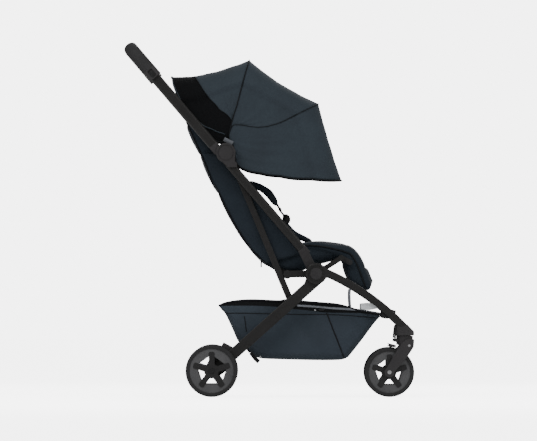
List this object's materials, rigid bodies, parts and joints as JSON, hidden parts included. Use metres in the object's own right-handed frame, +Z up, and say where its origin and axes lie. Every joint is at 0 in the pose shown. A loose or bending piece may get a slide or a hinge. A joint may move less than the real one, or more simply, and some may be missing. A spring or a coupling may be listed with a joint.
{
  "type": "baby stroller",
  "caption": "Compact folding baby stroller with a fan canopy, hanging navy seat with harness, under-seat basket, swivel front wheels and a foot brake.",
  "frame": {"origin": "on the ground, at the middle of the overall length and of the track", "axes": "+X forward, +Y to the child's left, +Z up"},
  "size_m": [0.8656, 0.46, 1.0594],
  "materials": {
    "tube": "satin powder coat",
    "fitting": "fine-grained moulded plastic",
    "grip": "soft foam rubber",
    "steel": "plain",
    "tyre": "matt rubber",
    "rim": "satin",
    "seat_fabric": "woven",
    "canopy_fabric": "woven",
    "basket_fabric": "woven",
    "webbing": "webbing",
    "mesh": "open mesh",
    "light_plastic": "satin"
  },
  "bodies": {
    "frame": {"lower_tubes": "tube", "tube_fittings": "fitting", "joint_covers": "fitting", "seat_arms": "fitting", "seat_cross_tubes": "tube", "pivot_pins": "steel", "canopy_mounts": "fitting", "seat_cushion": "seat_fabric", "side_wings": "seat_fabric", "harness_buckle": "fitting", "lap_straps": "webbing", "canopy_rear": "mesh", "canopy_bow_rear": "fitting", "basket": "basket_fabric"},
    "handle": {"handle_tubes": "tube", "handle_fittings": "fitting", "handle_grip": "grip", "handle_cranks": "fitting"},
    "fold_button_left": {"fold_button_left": "fitting"},
    "fold_button_right": {"fold_button_right": "fitting"},
    "backrest": {"backrest_pad": "seat_fabric", "backrest_hinges": "fitting", "shoulder_straps": "webbing"},
    "calf_rest": {"calf_pad": "seat_fabric", "calf_hinges": "fitting"},
    "buckle_button": {"buckle_button": "light_plastic"},
    "canopy_first": {"canopy_bow_first": "fitting", "canopy_front": "canopy_fabric"},
    "canopy_second": {"canopy_bow_second": "fitting", "canopy_visor": "canopy_fabric"},
    "canopy_hem": {"canopy_bow_hem": "fitting"},
    "rear_legs": {"rear_legs": "tube", "rear_leg_feet": "fitting", "rear_leg_pins": "steel", "rear_axle_tube": "tube"},
    "brake_pedal": {"brake_pedal": "fitting"},
    "strut": {"struts": "tube"},
    "front_legs": {"front_legs": "tube", "stem_housings": "fitting", "foot_crossbar": "light_plastic", "leg_clips": "fitting", "hub_caps": "fitting"},
    "brake_pin_left": {"brake_pin_left": "steel"},
    "rear_wheel_left": {"rear_tyre_left": "tyre", "rear_rim_left": "rim"},
    "lock_lever_left": {"lock_lever_left": "fitting"},
    "caster_left": {"swivel_head_left": "fitting"},
    "fork_left": {"fork_left": "tube", "fork_bolts_left": "steel"},
    "front_wheel_left": {"front_tyre_left": "tyre", "front_rim_left": "rim"},
    "brake_pin_right": {"brake_pin_right": "steel"},
    "rear_wheel_right": {"rear_tyre_right": "tyre", "rear_rim_right": "rim"},
    "lock_lever_right": {"lock_lever_right": "fitting"},
    "caster_right": {"swivel_head_right": "fitting"},
    "fork_right": {"fork_right": "tube", "fork_bolts_right": "steel"},
    "front_wheel_right": {"front_tyre_right": "tyre", "front_rim_right": "rim"}
  },
  "joints": [
    {"name": "leg_fold", "type": "hinge", "parent": "frame", "child": "rear_legs", "pos_m": [0.14034, 0, 0.3678], "axis": [0, 1, 0], "range_deg": [0, 78], "deforming": ["basket"]},
    {"name": "front_leg_fold", "type": "hinge", "parent": "frame", "child": "front_legs", "pos_m": [0.14034, 0, 0.3678], "axis": [0, 1, 0], "range_deg": [0, 135.8]},
    {"name": "handle_fold", "type": "hinge", "parent": "frame", "child": "handle", "pos_m": [-0.12936, 0, 0.7287], "axis": [0, 1, 0], "range_deg": [0, 163.1]},
    {"name": "strut_swing", "type": "hinge", "parent": "rear_legs", "child": "strut", "pos_m": [0.06444, 0, 0.2865], "axis": [0, 1, 0], "range_deg": [-88.1, 0]},
    {"name": "recline", "type": "hinge", "parent": "frame", "child": "backrest", "pos_m": [0.05474, 0, 0.367], "axis": [0, 1, 0], "range_deg": [-30, 0], "deforming": ["shoulder_straps"]},
    {"name": "calf_rest_tilt", "type": "hinge", "parent": "frame", "child": "calf_rest", "pos_m": [0.21524, 0, 0.415], "axis": [0, 1, 0], "range_deg": [-45, 0]},
    {"name": "buckle_press", "type": "slide", "parent": "frame", "child": "buckle_button", "axis": [-1, 0, 0], "range_m": [0, 0.002], "stiffness_N_per_m": 400},
    {"name": "canopy_fold", "type": "hinge", "parent": "frame", "child": "canopy_first", "pos_m": [-0.12076, 0, 0.765], "axis": [0, 1, 0], "range_deg": [-44, 0], "deforming": ["canopy_rear"]},
    {"name": "canopy_second_fold", "type": "hinge", "parent": "canopy_first", "child": "canopy_second", "pos_m": [-0.12076, 0, 0.765], "axis": [0, 1, 0], "range_deg": [-45, 0], "deforming": ["canopy_front"]},
    {"name": "canopy_hem_fold", "type": "hinge", "parent": "canopy_second", "child": "canopy_hem", "pos_m": [-0.12076, 0, 0.765], "axis": [0, 1, 0], "range_deg": [-34, 0], "deforming": ["canopy_visor"]},
    {"name": "brake_press", "type": "hinge", "parent": "rear_legs", "child": "brake_pedal", "pos_m": [-0.17136, 0, 0.078], "axis": [0, 1, 0], "range_deg": [-18, 0]},
    {"name": "fold_button_left_slide", "type": "slide", "parent": "handle", "child": "fold_button_left", "axis": [-0.649, 0, 0.7608], "range_m": [0, 0.0055], "stiffness_N_per_m": 300},
    {"name": "brake_pin_left_slide", "type": "slide", "parent": "rear_legs", "child": "brake_pin_left", "axis": [0, 1, 0], "range_m": [0, 0.005]},
    {"name": "rear_wheel_left_spin", "type": "hinge", "parent": "rear_legs", "child": "rear_wheel_left", "pos_m": [-0.17136, 0.218, 0.078], "axis": [0, 1, 0], "continuous": true},
    {"name": "lock_lever_left_press", "type": "hinge", "parent": "front_legs", "child": "lock_lever_left", "pos_m": [0.38024, 0.2, 0.208], "axis": [0, 1, 0], "range_deg": [0, 10]},
    {"name": "caster_left_swivel", "type": "hinge", "parent": "front_legs", "child": "caster_left", "pos_m": [0.40624, 0.2, 0.196], "axis": [0, 0, 1], "continuous": true},
    {"name": "suspension_left", "type": "hinge", "parent": "caster_left", "child": "fork_left", "pos_m": [0.41754, 0.2, 0.1536], "axis": [0, 1, 0], "range_deg": [0, 4], "stiffness_Nm_per_rad": 60, "springref_deg": -3.44},
    {"name": "front_wheel_left_spin", "type": "hinge", "parent": "fork_left", "child": "front_wheel_left", "pos_m": [0.35874, 0.2, 0.074], "axis": [0, 1, 0], "continuous": true},
    {"name": "fold_button_right_slide", "type": "slide", "parent": "handle", "child": "fold_button_right", "axis": [-0.649, 0, 0.7608], "range_m": [0, 0.0055], "stiffness_N_per_m": 300},
    {"name": "brake_pin_right_slide", "type": "slide", "parent": "rear_legs", "child": "brake_pin_right", "axis": [0, -1, 0], "range_m": [0, 0.005]},
    {"name": "rear_wheel_right_spin", "type": "hinge", "parent": "rear_legs", "child": "rear_wheel_right", "pos_m": [-0.17136, -0.218, 0.078], "axis": [0, 1, 0], "continuous": true},
    {"name": "lock_lever_right_press", "type": "hinge", "parent": "front_legs", "child": "lock_lever_right", "pos_m": [0.38024, -0.2, 0.208], "axis": [0, 1, 0], "range_deg": [0, 10]},
    {"name": "caster_right_swivel", "type": "hinge", "parent": "front_legs", "child": "caster_right", "pos_m": [0.40624, -0.2, 0.196], "axis": [0, 0, 1], "continuous": true},
    {"name": "suspension_right", "type": "hinge", "parent": "caster_right", "child": "fork_right", "pos_m": [0.41754, -0.2, 0.1536], "axis": [0, 1, 0], "range_deg": [0, 4], "stiffness_Nm_per_rad": 60, "springref_deg": -3.44},
    {"name": "front_wheel_right_spin", "type": "hinge", "parent": "fork_right", "child": "front_wheel_right", "pos_m": [0.35874, -0.2, 0.074], "axis": [0, 1, 0], "continuous": true}
  ],
  "couplings": [
    {"joint": "front_leg_fold", "follows": "leg_fold", "ratio": 1.74},
    {"joint": "handle_fold", "follows": "leg_fold", "ratio": 2.09},
    {"joint": "strut_swing", "follows": "leg_fold", "ratio": -1.128},
    {"joint": "canopy_second_fold", "follows": "canopy_fold", "ratio": 1.02},
    {"joint": "canopy_hem_fold", "follows": "canopy_fold", "ratio": 0.77},
    {"joint": "brake_pin_left_slide", "follows": "brake_press", "m_per_rad": -0.0159},
    {"joint": "brake_pin_right_slide", "follows": "brake_press", "m_per_rad": -0.0159}
  ]
}
